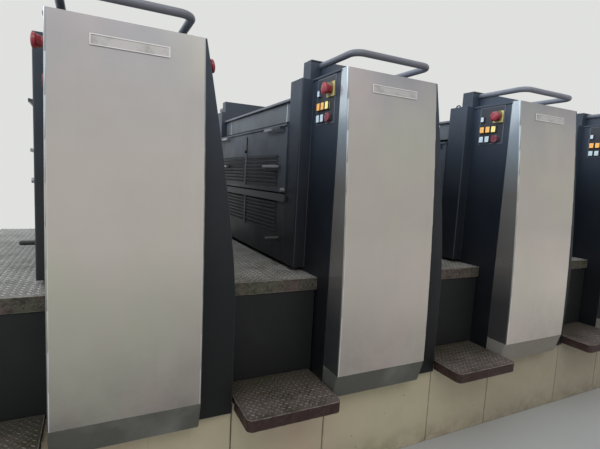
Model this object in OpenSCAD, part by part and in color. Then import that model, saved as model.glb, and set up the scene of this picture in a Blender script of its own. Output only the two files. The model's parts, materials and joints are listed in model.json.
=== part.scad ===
// Row of sheet-fed offset printing units on a low masonry plinth.
// Each unit has an operator housing and a drive housing with the printing cylinders between them.
// Walkways with chequered platforms and lower steps fill the gaps between the units.
// X runs along the row, Y across it with the operator side at -Y, Z up from the floor.
// Unit modules are drawn with X = 0 at the left edge of the pale cover, Y = 0 at its top front edge
// and Z = 0 on the plinth.

/* [Row] */
// Distance from one unit to the next
pitch = 1262; // [1240:2:1400]
// Distance between the top front edges of the operator cover and the drive cover
machine_w = 2460; // [2300:20:2900]
// How far the plinth under a unit reaches past the unit's side covers
base_out = 7; // [4:1:20]

/* [Plinth] */
// Height of the masonry plinth
plinth_h = 500; // [300:10:700]
// How far the plinth face is set back from the top of the pale cover
plinth_set = 20; // [15:1:40]
// Width of the open joint between two plinth blocks
plinth_joint = 5; // [3:1:12]

/* [Pale covers] */
// Width of a pale cover
cover_w = 576; // [520:2:600]
// Height of a pale cover above its kick band
cover_h = 1541; // [1450:1:1650]
// Depth of the cover's top, back to the housing
cover_d = 55; // [40:1:80]
// How far the foot of the cover stands out beyond its top
cover_bow = 88; // [40:1:110]
// Rounding of the cover's upright edges
cover_r = 10; // [4:1:20]
// Sheet thickness of the covers and guards
sheet = 3; // [2:0.5:5]
// Height of the dark kick band that the cover stands on
band_h = 97; // [60:1:140]
// How far the band's foot is set back from its top
band_set = 38; // [20:1:50]
// How far the bands and side covers hang over the plinth edge
cover_drop = 33; // [10:1:45]

/* [Housings] */
// Depth of the housing's front box, which carries the push buttons
box_d = 292; // [270:2:400]
// Depth of the wing behind the front box
wing_d = 150; // [110:5:200]
// How far the wing stands out towards the walkway on its left
wing_out = 73; // [50:1:90]
// How far the wing reaches past the pale cover on its right
body_out = 84; // [70:2:110]
// Height of the wing's lower edge above the plinth
wing_z = 572; // [560:1:620]
// Rounding of the wing's upright front edge
wing_r = 8; // [4:1:40]
// Height of the raised head on the wing, above the housing's top
head_h = 103; // [80:1:150]
// Depth of the raised head
head_d = 90; // [60:5:134]
// How far the raised head stands out beyond the pale cover's left edge
head_out = 26; // [4:1:40]
// Thickness of the lip round the housing's top
lip_t = 12; // [8:1:20]
// Overhang of that lip
lip_out = 7; // [4:1:15]

/* [Side covers] */
// Reach of the flared side cover beyond the pale cover, at its widest
flare_w = 165; // [150:1:185]
// Reach of the flared side cover at its top
flare_top = 2; // [2:1:20]
// Height of the side cover's widest point
flare_z = 500; // [400:10:600]

/* [Handrails] */
// Diameter of the handrail tube
rail_d = 34; // [26:1:42]
// Height of the rail's centre above the housing's top
rail_up = 77; // [50:1:90]
// Bend radius of the rail at its corners
rail_r = 55; // [40:1:90]
// Distance of the rail's left run from the cover's left edge
rail_in = 42; // [20:1:60]
// Thickness of the guard plate under the rail
plate_t = 5; // [3:1:8]

/* [Louvred guards] */
// Height of the hinged guard's lower edge above the plinth
guard_z0 = 995; // [960:1:1010]
// Height of the hinged guard's upper edge above the plinth
guard_z1 = 1404; // [1390:1:1420]
// How far the guard's face stands out from the cover's left edge
guard_out = 78; // [74:1:90]
// Depth of the guard's bent edges
guard_d = 30; // [24:1:40]
// Number of louvres in a bank
louvres = 8; // [4:1:10]
// Distance from one louvre to the next
louvre_pitch = 25; // [20:1:28]
// Length of one louvre
louvre_w = 570; // [400:10:600]
// How far a louvre blade stands out of its sheet
louvre_out = 9; // [6:1:14]
// Width of the rib between the two banks of louvres
rib_w = 40; // [16:1:48]
// Diameter of the guard's hinge pins
pin_d = 14; // [10:1:18]
// Clearance between a hinge pin and its bore, on the radius
pin_clear = 0.3; // [0.2:0.05:0.5]
// Running clearance at each end of the hinged guard
guard_gap = 6; // [5:1:12]
// How far the hem of the lower guard stands out
hem_out = 14; // [8:1:18]
// Reach of the lower guard's levers
lever_out = 92; // [60:1:98]

/* [Walkways] */
// Height of the upper platform's top above the plinth
platform_z = 549; // [500:1:556]
// Height of the platform's lip
platform_lip = 67; // [40:1:90]
// Distance of the platform's front edge behind the cover's top edge
platform_y = 178; // [160:2:220]
// Height of the lower step's top above the plinth
step_z = 29; // [20:1:45]
// Height of the lower step's front
step_h = 57; // [45:1:70]
// Distance that the lower step stands out in front of the cover's top edge
step_out = 190; // [150:5:230]
// Gap between the lower step and the side covers on its left
step_gap = 15; // [8:1:30]
// Gap between the lower step and the housing on its right
step_inset = 28; // [10:1:50]
// Corner radius of the lower step
step_r = 30; // [15:1:60]
// Thickness of the chequered plate
chequer_t = 6; // [4:1:8]
// Distance of the seam between two platform plates from the housing on their right
seam_x = 240; // [150:5:300]

/* [Controls] */
// Thickness of the control panel
panel_t = 2; // [1:0.5:4]
// Width of the control panel
panel_w = 190; // [185:1:200]
// Height of the control panel
panel_h = 244; // [235:1:260]
// Side of the square base of a stop button
stop_base = 76; // [60:1:80]
// Diameter of a stop button's head
stop_d = 60; // [40:1:64]
// Distance that a stop button's head stands out of its base
stop_out = 45; // [30:1:50]
// Width of a push button
button_w = 32; // [20:1:36]
// Height of a push button
button_h = 38; // [30:1:44]
// Diameter of the round red push button
red_d = 48; // [36:1:52]
// Width of the blank nameplate
nameplate_w = 285; // [220:5:340]
// Height of the blank nameplate
nameplate_h = 42; // [30:1:60]

/* [Cylinders] */
// Diameter of the plate cylinder
plate_cyl_d = 270; // [240:5:290]
// Diameter of the blanket cylinder
blanket_cyl_d = 270; // [240:5:290]
// Diameter of the impression cylinder
impression_cyl_d = 540; // [500:5:550]
// Diameter of the cylinder journals
journal_d = 90; // [60:5:120]
// Width of the bearer ring at each end of a cylinder
bearer_w = 35; // [20:1:50]
// Width of the gap that runs along a plate or blanket cylinder
cyl_gap = 46; // [30:1:60]

/* [Hidden] */

units = 4;
side_x = cover_w + flare_w;
unit_base = side_x + base_out;
body_x1 = cover_w + body_out;
row_x = (pitch - unit_base) - units * pitch / 2;
body_h = band_h + cover_h;
wing_y = cover_d + box_d;
inner_y = wing_y + wing_d;
inner_w = machine_w - 2 * inner_y;
walk_x = unit_base - pitch;
bed_h = 280;
side_gap = 0.3;
eps = 0.01;

// Guard hinge axis
hinge_x = -guard_out + guard_d * 0.7;
hinge_z = guard_z1 - 26;
pin_in = 20;

dark = [0.13, 0.145, 0.17];
pale = [0.64, 0.63, 0.61];
cream = [0.60, 0.57, 0.48];

// Places its children at unit i
module at_unit(i) {
    translate([row_x + i * pitch, -machine_w / 2, plinth_h]) children();
}

module at_units() {
    for (i = [0 : units - 1]) at_unit(i) children();
}

// Mirrors its children to the drive side of the unit
module drive_side() {
    translate([0, machine_w, 0]) mirror([0, 1, 0]) children();
}

module both_sides() {
    children();
    drive_side() children();
}

// Extrudes an X-Z outline from y0 to y1
module along_y(y0, y1) {
    translate([0, y1, 0]) rotate([90, 0, 0]) linear_extrude(y1 - y0) children();
}

// Extrudes a Y-Z outline from x0 to x1
module along_x(x0, x1) {
    translate([x0, 0, 0]) rotate([90, 0, 90]) linear_extrude(x1 - x0) children();
}

module block(x0, x1, y0, y1, z0, z1) {
    translate([x0, y0, z0]) cube([x1 - x0, y1 - y0, z1 - z0]);
}

// Round bar from y0 to y1
module bar_y(d, x, z, y0, y1) {
    translate([x, y0, z]) rotate([-90, 0, 0]) cylinder(d = d, h = y1 - y0, $fn = 48);
}

// Round bar that stands out towards -X from x1 to x0
module bar_x(d, x0, x1, y, z) {
    translate([x0, y, z]) rotate([0, 90, 0]) cylinder(d = d, h = x1 - x0, $fn = 48);
}

// Plinth

module unit_plinths() color(cream) at_units()
    block(plinth_joint / 2, unit_base - plinth_joint / 2, plinth_set, machine_w - plinth_set,
        -plinth_h, 0);

module walkway_plinths() color(cream) at_units()
    block(walk_x + plinth_joint / 2, -plinth_joint / 2, plinth_set, machine_w - plinth_set,
        -plinth_h, 0);

// Bed casting between the two housings
module bed_castings() color(dark) at_units()
    block(0, body_x1 - guard_d - 5, inner_y, inner_y + inner_w, 0, bed_h);

// Housings

// Plan of the wing, with its front left edge rounded
module wing_plan() {
    translate([wing_r - wing_out, wing_y]) square([wing_out - wing_r + body_x1, wing_d]);
    translate([-wing_out, wing_y + wing_r]) square([wing_r + 1, wing_d - wing_r]);
    translate([wing_r - wing_out, wing_y + wing_r]) circle(r = wing_r, $fn = 64);
}

// Raised head, closed by a cap plate that stands out a little in front
module raised_head() {
    cap_t = 8;
    cap_out = 5;
    z1 = body_h + head_h;
    block(-head_out, cover_w, wing_y, wing_y + head_d, body_h - eps, z1 - cap_t + eps);
    block(-head_out, cover_w, wing_y - cap_out, wing_y + head_d, z1 - cap_t, z1);
}

module housing() {
    difference() {
        union() {
            block(0, cover_w, cover_d, wing_y + eps, 0, body_h);
            block(0, body_x1, wing_y, inner_y, 0, wing_z + eps);
            translate([0, 0, wing_z]) linear_extrude(body_h - wing_z) wing_plan();
            block(-lip_out, cover_w, cover_d, wing_y, body_h - lip_t, body_h);
            raised_head();
        }
        bar_y(pin_d + 2 * pin_clear, hinge_x, hinge_z, inner_y - pin_in - 4, inner_y + 1);
    }
}

module operator_housing(i) color(dark) at_unit(i) housing();
module drive_housing(i) color(dark) at_unit(i) drive_side() housing();

// Right edge of the flared side cover: nearly straight at the top, upright at the bottom
function flare_x(z) =
    z < flare_z ? flare_w
    : flare_top + (flare_w - flare_top) * (1 - pow((z - flare_z) / (body_h - flare_z), 1.35));

module flare_outline(foot) {
    steps = 14;
    polygon(concat([[cover_w, body_h], [cover_w, foot], [cover_w + flare_w, foot]],
        [for (k = [0 : steps]) let (z = flare_z + (body_h - flare_z) * k / steps)
            [cover_w + flare_x(z), z]]));
}

module side_covers() color(dark) at_units() both_sides() {
    along_y(0, plinth_set - plinth_joint) flare_outline(-cover_drop);
    along_y(plinth_set - plinth_joint - eps, wing_y) flare_outline(0);
}

// The pale cover is bent sheet on a large circle, whose centre lies behind its foot
cover_bend = (cover_h * cover_h + cover_bow * cover_bow) / (2 * cover_bow);
cover_depth = cover_bow + cover_d + 20;
cover_angle = asin((cover_h + 5) / (cover_bend - cover_depth));

function cover_y(z) = cover_bend - cover_bow - sqrt(cover_bend * cover_bend - pow(z - band_h, 2));

// Section of a cover: x is negative behind the face, y runs along the cover's width
module cover_section(inset) {
    r = cover_r - inset;
    w = cover_w - 2 * inset;
    translate([-cover_depth, inset]) square([cover_depth - inset - r, w]);
    translate([-cover_depth, inset + r]) square([cover_depth - inset, w - 2 * r]);
    for (y = [inset + r, cover_w - inset - r])
        translate([-inset - r, y]) circle(r = r, $fn = 32);
}

// That section swept up the bow, from an angle below the foot
module bowed_sweep(inset, below) {
    translate([0, cover_bend - cover_bow, band_h]) rotate([90, 0, -90]) rotate([0, 0, -below])
        rotate_extrude(angle = cover_angle + below, $fn = 1440)
            translate([cover_bend, 0]) mirror([0, 1]) cover_section(inset);
}

// Shell of bent sheet, closed at its top and open at its back and foot
module pale_cover() {
    difference() {
        intersection() {
            bowed_sweep(0, 0);
            block(-1, cover_w + 1, -cover_bow - 1, cover_d, band_h - 1, body_h);
        }
        intersection() {
            bowed_sweep(sheet, 0.05);
            block(-1, cover_w + 1, -cover_bow - 1, cover_d + 1, band_h - 9, body_h - sheet);
        }
    }
}

module silver_covers() color(pale) at_units() both_sides() pale_cover();

// The kick band leans back below the cover, towards the plinth
band_lean = atan2(band_set, band_h + cover_drop);

module band_sweep(inset) {
    reach = band_h + cover_drop + cover_bow;
    translate([0, -cover_bow, band_h]) rotate([band_lean, 0, 0]) translate([0, 0, -reach])
        linear_extrude(reach + cover_bow) rotate(-90) cover_section(inset);
}

module kick_band() {
    foot_y = plinth_set - plinth_joint;
    front_y = -cover_bow - 1;
    difference() {
        intersection() {
            band_sweep(0);
            along_x(0, cover_w) polygon([[front_y, band_h], [cover_d, band_h], [cover_d, 0],
                [foot_y, 0], [foot_y, -cover_drop], [front_y, -cover_drop]]);
        }
        band_sweep(sheet);
    }
}

module kick_bands() color([0.28, 0.28, 0.25]) at_units() both_sides() kick_band();

// Blank nameplate with a raised rim, high on the operator's pale cover
nameplate_z = 1552;
nameplate_x = (cover_w - nameplate_w) / 2;
nameplate_t = 4;

module nameplates() color([0.68, 0.66, 0.62]) at_units() {
    y0 = cover_y(nameplate_z);
    lean = atan2(cover_y(nameplate_z + 10) - y0, 10);
    translate([nameplate_x, y0, nameplate_z]) rotate([-lean, 0, 0]) difference() {
        block(0, nameplate_w, -nameplate_t, 0, -nameplate_h / 2, nameplate_h / 2);
        block(4, nameplate_w - 4, -nameplate_t - 1, -nameplate_t / 2, 4 - nameplate_h / 2,
            nameplate_h / 2 - 4);
    }
}

// Covers between the housings

ink_z0 = guard_z1 + 24;
ink_z1 = 1560;
ink_top = 15;

module ink_covers() color(dark) at_units() {
    edge_w = 8;
    block(-25, body_x1 - 12, inner_y, inner_y + inner_w, ink_z0, ink_z1 - ink_top);
    both_sides() block(-29, -25 + eps, inner_y + 2 * edge_w, inner_y + 3 * edge_w, ink_z0,
        ink_z1 - ink_top);
}

module ink_lids() color([0.5, 0.51, 0.53]) at_units()
    block(-45, body_x1, inner_y, inner_y + inner_w, ink_z1 - ink_top, ink_z1);

// Two banks of louvre slots, as a flat pattern over Y and Z
module louvre_slots(z0) {
    slot_h = louvre_pitch * 0.42;
    for (side = [-1, 1], k = [0 : louvres - 1])
        translate([machine_w / 2 + side * (rib_w / 2 + 12 + louvre_w / 2),
            z0 + (k + 0.3) * louvre_pitch])
            translate([-louvre_w / 2, 0]) square([louvre_w, slot_h]);
}

// The blades over those slots, on a sheet whose face is at x = 0 and looks towards -X
module louvre_blades(z0) {
    for (side = [-1, 1], k = [0 : louvres - 1]) {
        y0 = machine_w / 2 + side * (rib_w / 2 + 12 + louvre_w / 2) - louvre_w / 2;
        zk = z0 + (k + 0.3) * louvre_pitch;
        along_y(y0, y0 + louvre_w)
            polygon([[sheet / 2, zk + louvre_pitch * 0.43], [sheet / 2, zk + louvre_pitch * 0.65],
                [-louvre_out, zk + louvre_pitch * 0.1], [-louvre_out, zk - louvre_pitch * 0.02]]);
    }
}

// Bent sheet guard with louvres: face at x = 0, edges bent back towards +X
module louvred_sheet(y0, y1, z0, z1, bank_z) {
    along_x(0, sheet) difference() {
        translate([y0, z0]) square([y1 - y0, z1 - z0]);
        louvre_slots(bank_z);
    }
    louvre_blades(bank_z);
    block(0, guard_d, y0, y0 + sheet, z0, z1);
    block(0, guard_d, y1 - sheet, y1, z0, z1);
    block(0, guard_d, y0, y1, z0, z0 + sheet);
    block(0, guard_d, y0, y1, z1 - sheet, z1);
    block(-6, eps, machine_w / 2 - rib_w / 2, machine_w / 2 + rib_w / 2, bank_z - 10,
        bank_z + louvres * louvre_pitch + 10);
}

// Plain strip above the louvres of the hinged guard
bank_drop = 176;

// Slot behind the centre latch of the hinged guard
latch_w = 34;
latch_z0 = guard_z1 - 150;
latch_z1 = guard_z1 - 42;

module louvred_guard(i) color([0.17, 0.18, 0.20]) at_unit(i) {
    y0 = inner_y + guard_gap;
    y1 = inner_y + inner_w - guard_gap;
    y_mid = machine_w / 2;
    difference() {
        translate([-guard_out, 0, 0])
            louvred_sheet(y0, y1, guard_z0, guard_z1, guard_z1 - bank_drop - louvres * louvre_pitch);
        block(-guard_out - 1, sheet + 1 - guard_out, y_mid - latch_w / 2, y_mid + latch_w / 2,
            latch_z0, latch_z1);
    }
    block(-guard_out - 9, -guard_out + eps, y0, y1, guard_z1 - 12, guard_z1);
    bar_y(pin_d, hinge_x, hinge_z, y0 - guard_gap - pin_in, y0 + sheet);
    bar_y(pin_d, hinge_x, hinge_z, y1 - sheet, y1 + guard_gap + pin_in);
    both_sides() for (y = [handle_y, handle_y + handle_l - post_w])
        block(-guard_out - louvre_out - 2, -guard_out + eps, y, y + post_w, handle_z - 9,
            handle_z + 9);
}

// Pull handles, grips, centre latch and corner knobs of the hinged guard
handle_l = 220;
handle_y = 588;
handle_z = 1152;
handle_out = 34;
grip_l = 261;
grip_y = inner_y + 45;
post_w = 14;

// Pull handle from y to y + l, whose bar starts at x0 and whose posts stand on x = seat
module pull_handle(y, z, l, x0, seat) {
    bar = 10;
    block(x0, x0 + bar, y, y + l, z - 8, z + 8);
    for (y_post = [y, y + l - post_w])
        block(x0 + bar - eps, seat, y_post, y_post + post_w, z - 6, z + 6);
}

module guard_handles(i) color([0.55, 0.56, 0.58]) at_unit(i) {
    x0 = -guard_out - handle_out;
    y_mid = machine_w / 2;
    strap = 5;
    both_sides() {
        pull_handle(handle_y, handle_z, handle_l, x0, -guard_out - louvre_out - 2);
        bar_x(24, -guard_out - 22, -guard_out, inner_y + 20, guard_z0 + 16);
        pull_handle(grip_y, guard_z1 - 26, grip_l, x0, -guard_out);
    }
    block(-guard_out - strap, -guard_out, y_mid - post_w / 2, y_mid + post_w / 2, latch_z0 - 8,
        latch_z1 + 8);
    bar_x(20, -guard_out - 18, -guard_out - strap + eps, y_mid, latch_z0 + 6);
}

// Fixed louvred guard below the hinged one, with a hem that slopes out under the seam
lower_z0 = platform_z + chequer_t + 20;
lower_z1 = guard_z0 - 10;
lower_bank_z = guard_z0 - 55 - louvres * louvre_pitch;

module lower_louvre_guards() color([0.16, 0.17, 0.19]) at_units()
    translate([-wing_out, 0, 0]) {
        louvred_sheet(inner_y, inner_y + inner_w, lower_z0, lower_z1, lower_bank_z);
        along_y(inner_y, inner_y + inner_w)
            polygon([[sheet / 2, lower_z1 - 1], [-2, lower_z1 - 1], [-hem_out, lower_z1 - 44],
                [sheet / 2, lower_z1 - 44]]);
    }

// Round levers with domed ends, below the louvres of the lower guard
module lower_guard_handles() color([0.2, 0.2, 0.21]) at_units() both_sides() {
    lever_d = 24;
    lever_y = inner_y + 85;
    lever_z = lower_bank_z - 34;
    dome_x = lever_d / 2 - wing_out - lever_out;
    bar_x(lever_d, dome_x, -wing_out, lever_y, lever_z);
    translate([dome_x, lever_y, lever_z]) sphere(d = lever_d, $fn = 48);
}

// Fixed louvred cover on the unit's right side
module right_louvre_covers() color([0.16, 0.17, 0.19]) at_units()
    translate([body_x1, 0, 0]) mirror([1, 0, 0])
        louvred_sheet(inner_y, inner_y + inner_w, 0, ink_z0 - 4, guard_z0 - 55);

// Printing cylinders, with journals that end on the housings. The blanket cylinder runs on the
// impression cylinder and the plate cylinder runs on the blanket cylinder.

nip = 0.5;
cyl_clear = 15;
impression_x = body_x1 - guard_d - cyl_clear - impression_cyl_d / 2;
blanket_x = impression_x - 83;
plate_x = blanket_x - 62;
impression_z = bed_h + impression_cyl_d / 2 + 2 * cyl_clear;
blanket_z = impression_z + sqrt(pow((impression_cyl_d + blanket_cyl_d) / 2 + nip, 2)
    - pow(impression_x - blanket_x, 2));
plate_z = blanket_z + sqrt(pow((blanket_cyl_d + plate_cyl_d) / 2 + nip, 2)
    - pow(blanket_x - plate_x, 2));

// Cylinder with a bearer ring at each end, and a gap along it that faces the given way
module printing_cylinder(d, x, z, gap, gap_turn) {
    end_gap = 40;
    groove = 8;
    y0 = inner_y + end_gap;
    difference() {
        bar_y(d, x, z, y0, machine_w - y0);
        both_sides() difference() {
            bar_y(d + 2, x, z, y0 + bearer_w, y0 + bearer_w + groove);
            bar_y(d - 2 * groove, x, z, y0 + bearer_w - 1, y0 + bearer_w + groove + 1);
        }
        translate([x, 0, z]) rotate([0, gap_turn, 0])
            block(-gap / 2, gap / 2, y0 + bearer_w + groove - eps,
                machine_w - y0 - bearer_w - groove + eps, d / 2 - 30, d / 2 + 1);
    }
    bar_y(journal_d, x, z, inner_y, y0 + eps);
    bar_y(journal_d, x, z, machine_w - y0 - eps, inner_y + inner_w);
}

module plate_cylinders() color([0.62, 0.64, 0.66]) at_units()
    printing_cylinder(plate_cyl_d, plate_x, plate_z, cyl_gap, -60);

module blanket_cylinders() color([0.25, 0.35, 0.5]) at_units()
    printing_cylinder(blanket_cyl_d, blanket_x, blanket_z, cyl_gap, -100);

module impression_cylinders() color([0.6, 0.62, 0.64]) at_units()
    printing_cylinder(impression_cyl_d, impression_x, impression_z, cyl_gap * 2, -75);

// Handrails

rail_z = body_h + rail_up;
rail_front = 5;
rail_right = 54;
rail_w = cover_w - rail_in - rail_right;
plate_z1 = rail_z - rail_d / 2 - side_gap;
plate_foot_l = 312;
plate_top_l = 144;

module rail_corner() {
    rotate_extrude(angle = 90, $fn = 64) translate([rail_r, 0]) circle(d = rail_d, $fn = 32);
}

module handrail() {
    x0 = rail_in;
    x1 = rail_in + rail_w;
    y_c = rail_front + rail_r;
    translate([0, 0, rail_z]) {
        bar_y(rail_d, x0, 0, y_c, wing_y);
        bar_y(rail_d, x1, 0, y_c, wing_y);
        bar_x(rail_d, x0 + rail_r, x1 - rail_r, rail_front, 0);
        translate([x0 + rail_r, y_c, 0]) rotate(180) rail_corner();
        translate([x1 - rail_r, y_c, 0]) rotate(270) rail_corner();
    }
}

module handrails() color([0.2, 0.22, 0.26]) at_units() both_sides() handrail();

// Upright plate between the housing's top and the rail's left run, cut off at a slant in front
module rail_guard_plates() color([0.18, 0.19, 0.22]) at_units() both_sides()
    along_x(rail_in - plate_t / 2, rail_in + plate_t / 2)
        polygon([[wing_y - plate_foot_l, body_h], [wing_y, body_h], [wing_y, plate_z1],
            [wing_y - plate_top_l, plate_z1]]);

// Half ring on the top of the third unit's wing
module lifting_eye() color(dark) at_unit(2) {
    eye_d = 9;
    translate([-wing_out / 2, inner_y - 37, body_h]) rotate([90, 0, 90])
        rotate_extrude(angle = 180, $fn = 64) translate([20, 0]) circle(d = eye_d, $fn = 24);
}

// Walkways

// Plan of the platform, inset by g and notched round the side covers of the unit on its left.
// The first platform ends plainly with its plinth.
module platform_plan(first, g) {
    x0 = (first ? walk_x + plinth_joint / 2 : body_x1 + side_gap - pitch) + g;
    y0 = platform_y + g;
    notch_x = side_x + side_gap - pitch + g;
    notch_y = wing_y + side_gap + g;
    difference() {
        translate([x0, y0]) square([-g - x0, machine_w - 2 * y0]);
        if (!first) both_sides()
            translate([x0 - 1, y0 - 1]) square([notch_x - x0 + 1, notch_y - y0 + 1]);
    }
}

// Chequered plate with a lip all round, a seam along it and a lifting slot in each end
module platform(first) {
    seam_w = 3;
    lift_w = 10;
    lift_x = 92;
    difference() {
        union() {
            translate([0, 0, platform_z - chequer_t]) linear_extrude(chequer_t)
                platform_plan(first, 0);
            translate([0, 0, platform_z - platform_lip])
                linear_extrude(platform_lip - chequer_t + eps) difference() {
                    platform_plan(first, 0);
                    platform_plan(first, chequer_t);
                }
        }
        block(-seam_x - seam_w, -seam_x, platform_y - 1, machine_w - platform_y + 1,
            platform_z - chequer_t / 2, platform_z + 1);
        both_sides() block(-lift_x, lift_w - lift_x, inner_y + 25, inner_y + 110,
            platform_z - chequer_t - 1, platform_z + 1);
    }
}

module platforms() color([0.42, 0.40, 0.38])
    for (i = [0 : units - 1]) at_unit(i) platform(i == 0);

// Dark frame that the platform lies on
module platform_frames() color([0.12, 0.12, 0.13]) at_units() {
    frame_gap = 19;
    frame_w = 30;
    x0 = side_x - pitch + frame_gap;
    x1 = -chequer_t - 2;
    y0 = platform_y + chequer_t + 2;
    difference() {
        block(x0, x1, y0, machine_w - y0, 0, platform_z - chequer_t);
        block(x0 + frame_w, x1 - frame_w, y0 + frame_w, machine_w - y0 - frame_w, -1,
            platform_z);
    }
}

// Lower step: a pan of chequered plate that hangs over the plinth edge
module step_plan(g) {
    x0 = side_x - pitch + step_gap + g;
    x1 = -step_inset - g;
    y0 = g - step_out;
    r = step_r - g;
    translate([x0, y0 + r]) square([x1 - x0, platform_y - y0 - r]);
    translate([x0 + r, y0]) square([x1 - x0 - 2 * r, r + 1]);
    for (x = [x0 + r, x1 - r])
        translate([x, y0 + r]) circle(r = r, $fn = 64);
}

module lower_step() {
    foot_z = step_z - step_h;
    difference() {
        translate([0, 0, foot_z]) linear_extrude(step_h) step_plan(0);
        translate([0, 0, foot_z - 1]) linear_extrude(step_h - chequer_t + 1) difference() {
            step_plan(chequer_t);
            translate([-pitch, platform_y - chequer_t]) square([pitch, chequer_t + 1]);
        }
        block(-pitch, 0, plinth_set - plinth_joint, platform_y + 1, foot_z - 1, 0);
    }
}

module lower_steps() color([0.36, 0.32, 0.29]) at_units() both_sides() lower_step();

// Push buttons on the housing's left face

stop_y = 144;
stop_z = 1551;
stop_t = 10;
panel_edge = 6;
panel_y = stop_y - stop_base / 2 - panel_edge;
panel_z1 = body_h - lip_t - 2;

button_y = 259;
button_step = 45;
button_out = 12;
row_step = 63;
amber_z = 1474;
white_z = amber_z - row_step;
red_y = button_y - 2.3 * button_step;
ring_w = 6;
ring_t = 4;

// Plate behind the push buttons, on the operator side, with a ring under the red one
module control_panels() color([0.22, 0.235, 0.26]) at_units() {
    block(-panel_t, 0, panel_y, panel_y + panel_w, panel_z1 - panel_h, panel_z1);
    bar_x(red_d + 2 * ring_w, -panel_t - ring_t, -panel_t + eps, red_y, white_z);
}

// Seat of a stop button on the sloping side cover: x = 0 lies on the cover there, and the button
// stands out towards -X as on the housing
side_stop_z = stop_z + 7;
side_stop_lean = atan2(flare_x(side_stop_z - stop_base / 2) - flare_x(side_stop_z + stop_base / 2),
    stop_base);

module on_side_cover() {
    translate([cover_w + flare_x(side_stop_z), 0, side_stop_z]) rotate([0, side_stop_lean, 180])
        mirror([0, 1, 0]) children();
}

// Head of a stop button, on a neck that widens outwards, standing out towards -X from x = 0
module stop_head() {
    r = stop_d / 2;
    crown = 8;
    neck = stop_out - crown - 12;
    rim = stop_out - crown;
    rotate([0, -90, 0]) rotate_extrude($fn = 64)
        polygon(concat([[0, 0], [r * 0.66, 0], [r * 0.66, neck / 3], [r * 0.86, neck], [r, neck + 3]],
            [for (a = [0 : 15 : 90]) [r * cos(a), rim + crown * sin(a)]]));
}

// Square base of a stop button, centred on Z = 0, between x = -stop_t and x = -seat
module stop_base_plate(seat) {
    block(-stop_t, -seat, stop_y - stop_base / 2, stop_y + stop_base / 2, -stop_base / 2,
        stop_base / 2);
}

module stop_button_bases() color([0.85, 0.74, 0.36]) at_units() {
    translate([0, 0, stop_z]) stop_base_plate(panel_t);
    drive_side() translate([0, 0, stop_z]) stop_base_plate(0);
    both_sides() on_side_cover() stop_base_plate(side_gap);
}

module stop_buttons() color([0.68, 0.2, 0.25]) at_units() both_sides() {
    translate([-stop_t, stop_y, stop_z]) stop_head();
    on_side_cover() translate([-stop_t, stop_y, 0]) stop_head();
}

module button(y, z, w, h) {
    block(-panel_t - button_out, -panel_t, y - w / 2, y + w / 2, z - h / 2, z + h / 2);
}

module amber_buttons() color([0.91, 0.66, 0.3]) at_units()
    for (k = [0 : 1]) button(button_y - k * button_step, amber_z, button_w, button_h);

module yellow_buttons() color([0.88, 0.78, 0.44]) at_units()
    button(button_y - 2 * button_step, amber_z, button_w, button_h);

module white_buttons() color([0.78, 0.81, 0.84]) at_units() {
    for (k = [0 : 1]) button(button_y - k * button_step, white_z, button_w, button_h);
    button(button_y + 5, stop_z - 8, button_w * 0.7, button_h * 0.8);
}

module red_buttons() color([0.5, 0.25, 0.29]) at_units()
    bar_x(red_d, -panel_t - ring_t - button_out, -panel_t - ring_t, red_y, white_z);

unit_plinths();
walkway_plinths();
bed_castings();
operator_housing(0);  // operator_housing_1
operator_housing(1);  // operator_housing_2
operator_housing(2);  // operator_housing_3
operator_housing(3);  // operator_housing_4
drive_housing(0);  // drive_housing_1
drive_housing(1);  // drive_housing_2
drive_housing(2);  // drive_housing_3
drive_housing(3);  // drive_housing_4
side_covers();
silver_covers();
kick_bands();
nameplates();
ink_covers();
ink_lids();
louvred_guard(0);  // louvred_guard_1
louvred_guard(1);  // louvred_guard_2
louvred_guard(2);  // louvred_guard_3
louvred_guard(3);  // louvred_guard_4
guard_handles(0);  // guard_handles_1
guard_handles(1);  // guard_handles_2
guard_handles(2);  // guard_handles_3
guard_handles(3);  // guard_handles_4
lower_louvre_guards();
lower_guard_handles();
right_louvre_covers();
plate_cylinders();
blanket_cylinders();
impression_cylinders();
handrails();
rail_guard_plates();
lifting_eye();
platforms();
platform_frames();
lower_steps();
control_panels();
stop_button_bases();
stop_buttons();
amber_buttons();
yellow_buttons();
white_buttons();
red_buttons();
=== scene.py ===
import json
import math

import bpy
from mathutils import Matrix, Vector
from mathutils.bvhtree import BVHTree

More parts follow.
